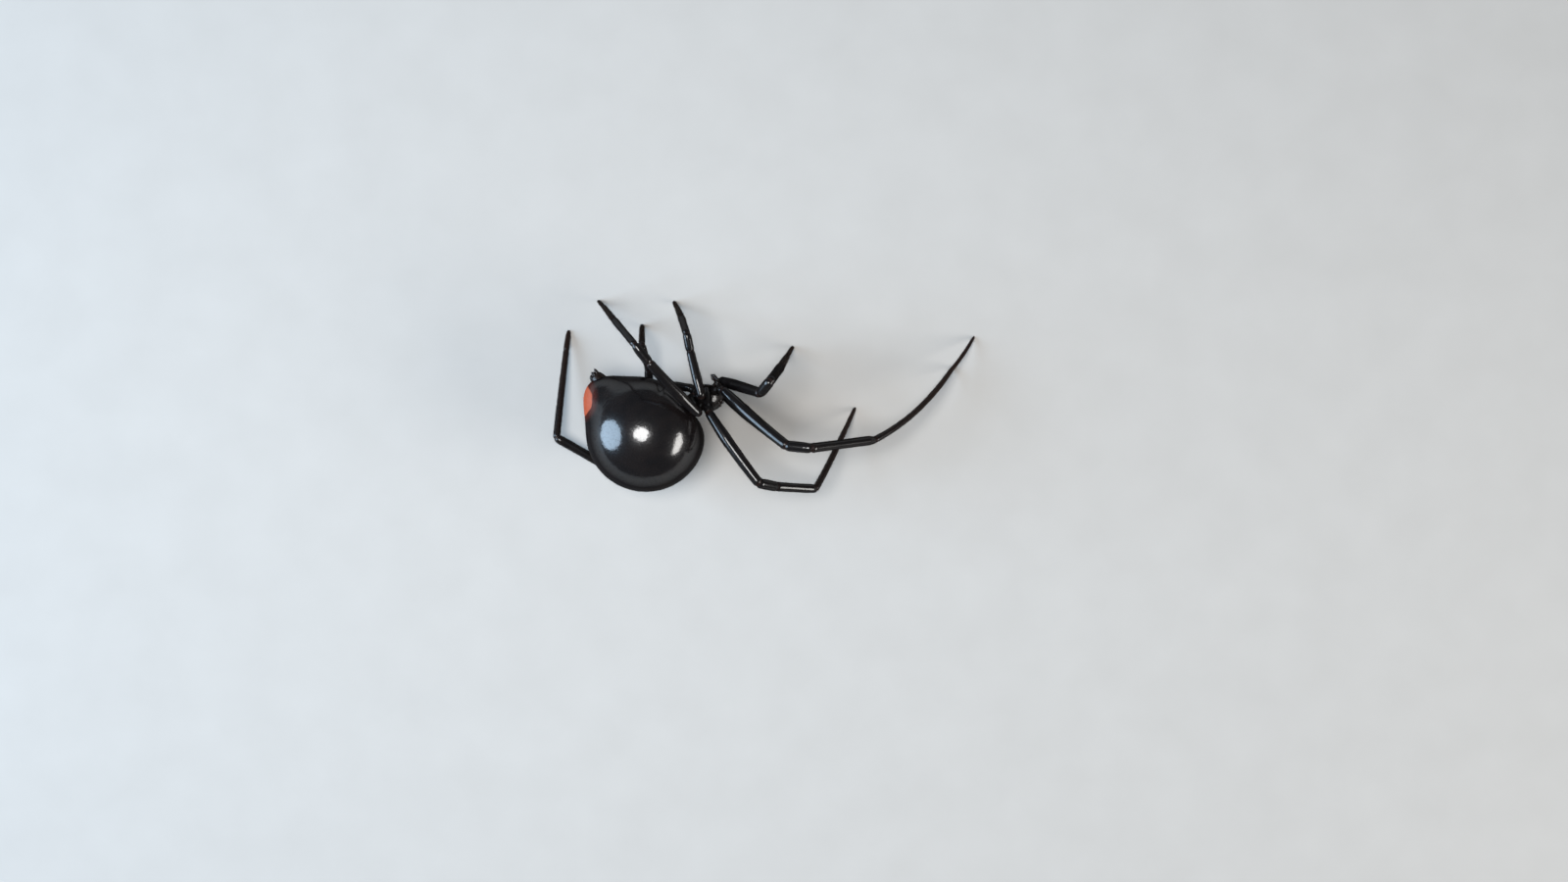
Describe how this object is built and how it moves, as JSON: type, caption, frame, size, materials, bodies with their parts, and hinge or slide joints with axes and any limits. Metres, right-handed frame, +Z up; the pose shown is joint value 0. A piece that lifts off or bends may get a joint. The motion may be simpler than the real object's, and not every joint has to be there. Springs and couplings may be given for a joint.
{
  "type": "black widow spider",
  "caption": "Glossy black spider lying on its right side on bent legs, with a near-round abdomen, a small head and long thin legs.",
  "frame": {"origin": "plan centre of the whole spider, on the floor plane its feet rest on", "axes": "+X towards the head, +Y towards the belly side, +Z up from the floor towards its left side"},
  "size_m": [0.0302, 0.0138, 0.0102],
  "materials": {
    "shell_black": "glossy black shell",
    "leg_end_brown_black": "brownish black, half glossy",
    "spinneret_brown": "dark brown, satin"
  },
  "bodies": {
    "root": {"abdomen": "shell_black", "pedicel": "shell_black", "carapace": "shell_black", "sternum": "shell_black", "chelicera_left": "shell_black", "chelicera_right": "shell_black", "palp_left": "shell_black", "palp_right": "shell_black", "spinnerets": "spinneret_brown", "mouthparts": "spinneret_brown", "coxa_left_1": "shell_black", "femur_left_1": "shell_black", "patella_left_1": "shell_black", "tibia_left_1": "shell_black", "metatarsus_left_1": "leg_end_brown_black", "tarsus_left_1": "leg_end_brown_black", "coxa_left_2": "shell_black", "femur_left_2": "shell_black", "patella_left_2": "shell_black", "tibia_left_2": "shell_black", "metatarsus_left_2": "leg_end_brown_black", "tarsus_left_2": "leg_end_brown_black", "coxa_left_3": "shell_black", "femur_left_3": "shell_black", "patella_left_3": "shell_black", "tibia_left_3": "shell_black", "metatarsus_left_3": "leg_end_brown_black", "tarsus_left_3": "leg_end_brown_black", "coxa_left_4": "shell_black", "femur_left_4": "shell_black", "patella_left_4": "shell_black", "tibia_left_4": "shell_black", "metatarsus_left_4": "leg_end_brown_black", "tarsus_left_4": "leg_end_brown_black", "coxa_right_1": "shell_black", "femur_right_1": "shell_black", "patella_right_1": "shell_black", "tibia_right_1": "shell_black", "metatarsus_right_1": "leg_end_brown_black", "tarsus_right_1": "leg_end_brown_black", "coxa_right_2": "shell_black", "femur_right_2": "shell_black", "patella_right_2": "shell_black", "tibia_right_2": "shell_black", "metatarsus_right_2": "leg_end_brown_black", "tarsus_right_2": "leg_end_brown_black", "coxa_right_3": "shell_black", "femur_right_3": "shell_black", "patella_right_3": "shell_black", "tibia_right_3": "shell_black", "metatarsus_right_3": "leg_end_brown_black", "tarsus_right_3": "leg_end_brown_black", "coxa_right_4": "shell_black", "femur_right_4": "shell_black", "patella_right_4": "shell_black", "tibia_right_4": "shell_black", "metatarsus_right_4": "leg_end_brown_black", "tarsus_right_4": "leg_end_brown_black"}
  },
  "joints": []
}
